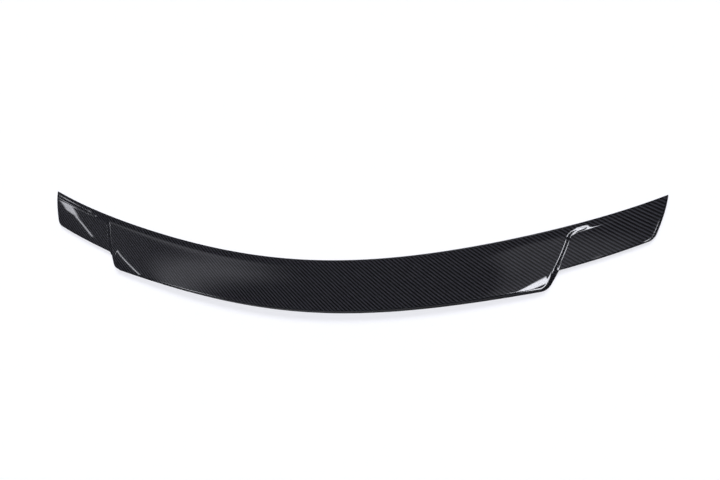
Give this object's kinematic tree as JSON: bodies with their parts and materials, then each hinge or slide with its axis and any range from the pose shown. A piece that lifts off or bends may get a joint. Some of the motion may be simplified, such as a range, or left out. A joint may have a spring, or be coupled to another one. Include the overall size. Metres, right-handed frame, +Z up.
{
  "type": "car rear spoiler",
  "caption": "Woven-carbon lip spoiler for a car's trunk lid: raised centre with a rear lip, stepping down to a low wing at each end, open underneath and bonded by its rim.",
  "frame": {"origin": "on the floor plane under the middle of the shell's box", "axes": "+X across the car towards its right side, +Y towards the front of the car, +Z up"},
  "size_m": [1.28, 0.224, 0.0176],
  "materials": {
    "carbon_gloss": "2x2 twill carbon fibre laminate under a gloss clear coat, bare laminate inside"
  },
  "bodies": {
    "root": {"spoiler_shell": "carbon_gloss"}
  },
  "joints": []
}
